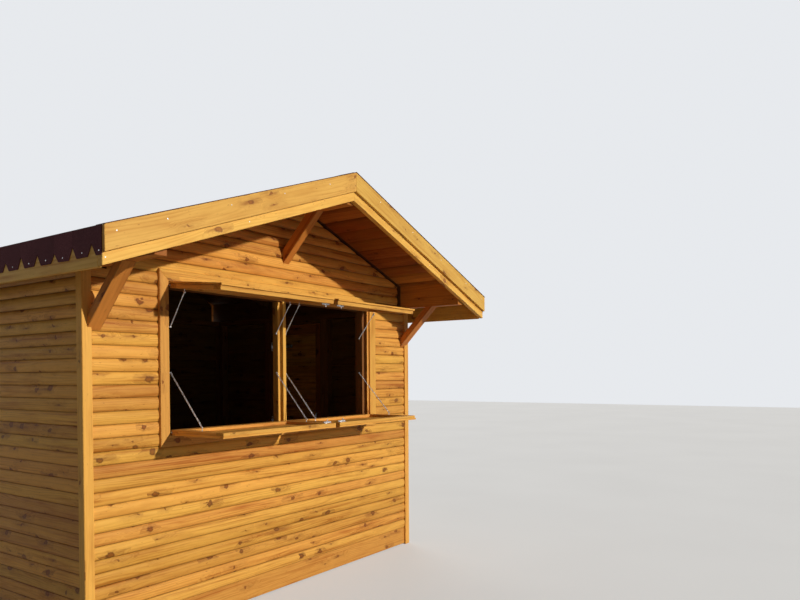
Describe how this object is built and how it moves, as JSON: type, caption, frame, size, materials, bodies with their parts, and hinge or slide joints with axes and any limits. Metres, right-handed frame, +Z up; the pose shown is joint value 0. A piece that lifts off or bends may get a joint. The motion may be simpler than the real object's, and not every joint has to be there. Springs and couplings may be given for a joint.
{
  "type": "market hut",
  "caption": "Wooden market hut with a shingled gable roof over a deep front overhang, a serving hatch with folding flaps and a hinged side door.",
  "frame": {"origin": "on the ground at the centre of the rectangle that the four corner posts enclose", "axes": "+X to the right along the front, +Y from the front to the back, +Z up"},
  "size_m": [3.514, 3.272, 2.7852],
  "materials": {
    "siding_wood": "varnished",
    "joinery_wood": "varnished",
    "beam_wood": "varnished",
    "trim_wood": "varnished",
    "frame_wood": "varnished",
    "soffit_wood": "varnished",
    "door_wood": "varnished",
    "shingle": "granular matt",
    "ridge_cap": "granular matt",
    "fringe": "granular matt",
    "steel": "zinc-plated"
  },
  "bodies": {
    "hut": {"back_frame": "frame_wood", "back_wall": "siding_wood", "bargeboards_left": "trim_wood", "bargeboards_right": "trim_wood", "corner_posts": "beam_wood", "door_casing": "joinery_wood", "door_hinge_plates": "steel", "eave_beams": "beam_wood", "eave_fascias": "trim_wood", "eave_fringes": "fringe", "flap_bolts": "steel", "flap_chains": "steel", "flap_hinges": "steel", "flap_stays": "steel", "floor_bearers": "frame_wood", "floor_deck": "frame_wood", "front_frame": "frame_wood", "front_wall_gable": "siding_wood", "front_wall_lower": "siding_wood", "front_wall_sides": "siding_wood", "hatch_casing": "joinery_wood", "hatch_mullion": "beam_wood", "left_frame": "frame_wood", "left_wall": "siding_wood", "lower_flap_left": "joinery_wood", "lower_flap_right": "joinery_wood", "plinth_boards": "joinery_wood", "rafters_left": "beam_wood", "rafters_right": "beam_wood", "ridge_beam": "beam_wood", "ridge_cap": "ridge_cap", "right_frame": "frame_wood", "right_wall_back": "siding_wood", "right_wall_front": "siding_wood", "right_wall_over_door": "siding_wood", "roof_boards_left": "soffit_wood", "roof_boards_right": "soffit_wood", "roof_brackets": "beam_wood", "shingles_left": "shingle", "shingles_right": "shingle", "upper_flap_left": "joinery_wood", "upper_flap_right": "joinery_wood"},
    "door": {"door_leaf": "door_wood", "door_straps": "steel", "door_handles": "steel"}
  },
  "joints": [
    {"name": "door_swing", "type": "hinge", "parent": "hut", "child": "door", "pos_m": [1.434, 0.3485, 1.036], "axis": [0, 0, -1], "range_deg": [0, 90]}
  ]
}
